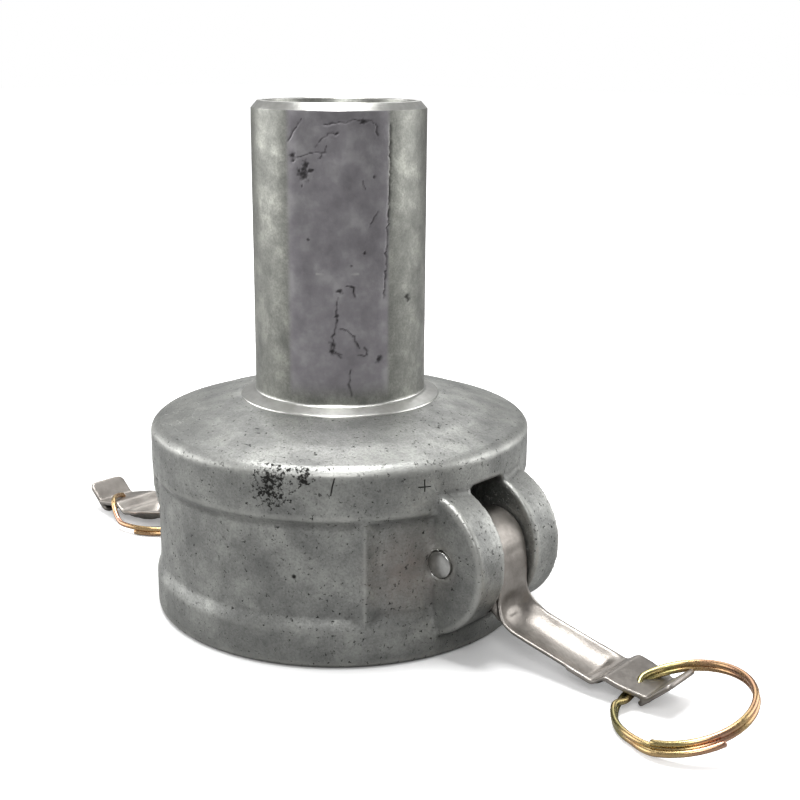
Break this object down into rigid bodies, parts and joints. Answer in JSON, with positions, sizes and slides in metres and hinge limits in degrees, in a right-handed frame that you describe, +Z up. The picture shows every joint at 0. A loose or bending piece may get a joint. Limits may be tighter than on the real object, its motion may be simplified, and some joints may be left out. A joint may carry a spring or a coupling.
{
  "type": "cam and groove coupling",
  "caption": "Round female coupler with two pivoting cam arms and pull rings, a lower rim, raised ears and a plain upright pipe stub.",
  "frame": {"origin": "centre of the socket mouth, on the plane the rim stands on", "axes": "+Z up along the stub, +X through the right cam arm, +Y by the right-hand rule"},
  "size_m": [0.3311, 0.1424, 0.1882],
  "materials": {
    "cast_aluminium": "as-cast, matte",
    "gasket_rubber": "matte",
    "arm_steel": "tumbled, satin",
    "pin_steel": "polished",
    "ring_steel": "yellow passivated zinc"
  },
  "bodies": {
    "body": {"coupling_body": "cast_aluminium", "sealing_gasket": "gasket_rubber", "pivot_pin_right": "pin_steel", "pivot_pin_left": "pin_steel"},
    "arm_right": {"cam_arm_right": "arm_steel"},
    "arm_left": {"cam_arm_left": "arm_steel"},
    "ring_right": {"pull_ring_right": "ring_steel"},
    "ring_left": {"pull_ring_left": "ring_steel"}
  },
  "joints": [
    {"name": "arm_right_pivot", "type": "hinge", "parent": "body", "child": "arm_right", "pos_m": [0.0685, 0, 0.0353], "axis": [0, -1, 0], "range_deg": [-8, 102.8]},
    {"name": "arm_left_pivot", "type": "hinge", "parent": "body", "child": "arm_left", "pos_m": [-0.0685, 0, 0.0353], "axis": [0, 1, 0], "range_deg": [-8, 102.8]},
    {"name": "ring_right_swivel", "type": "hinge", "parent": "arm_right", "child": "ring_right", "pos_m": [0.13631, 0, 0.00605], "axis": [0.2215, 0, 0.9751], "range_deg": [0, 20]},
    {"name": "ring_left_swivel", "type": "hinge", "parent": "arm_left", "child": "ring_left", "pos_m": [-0.13631, 0, 0.00605], "axis": [-0.2215, 0, 0.9751], "range_deg": [-24, 0]}
  ]
}
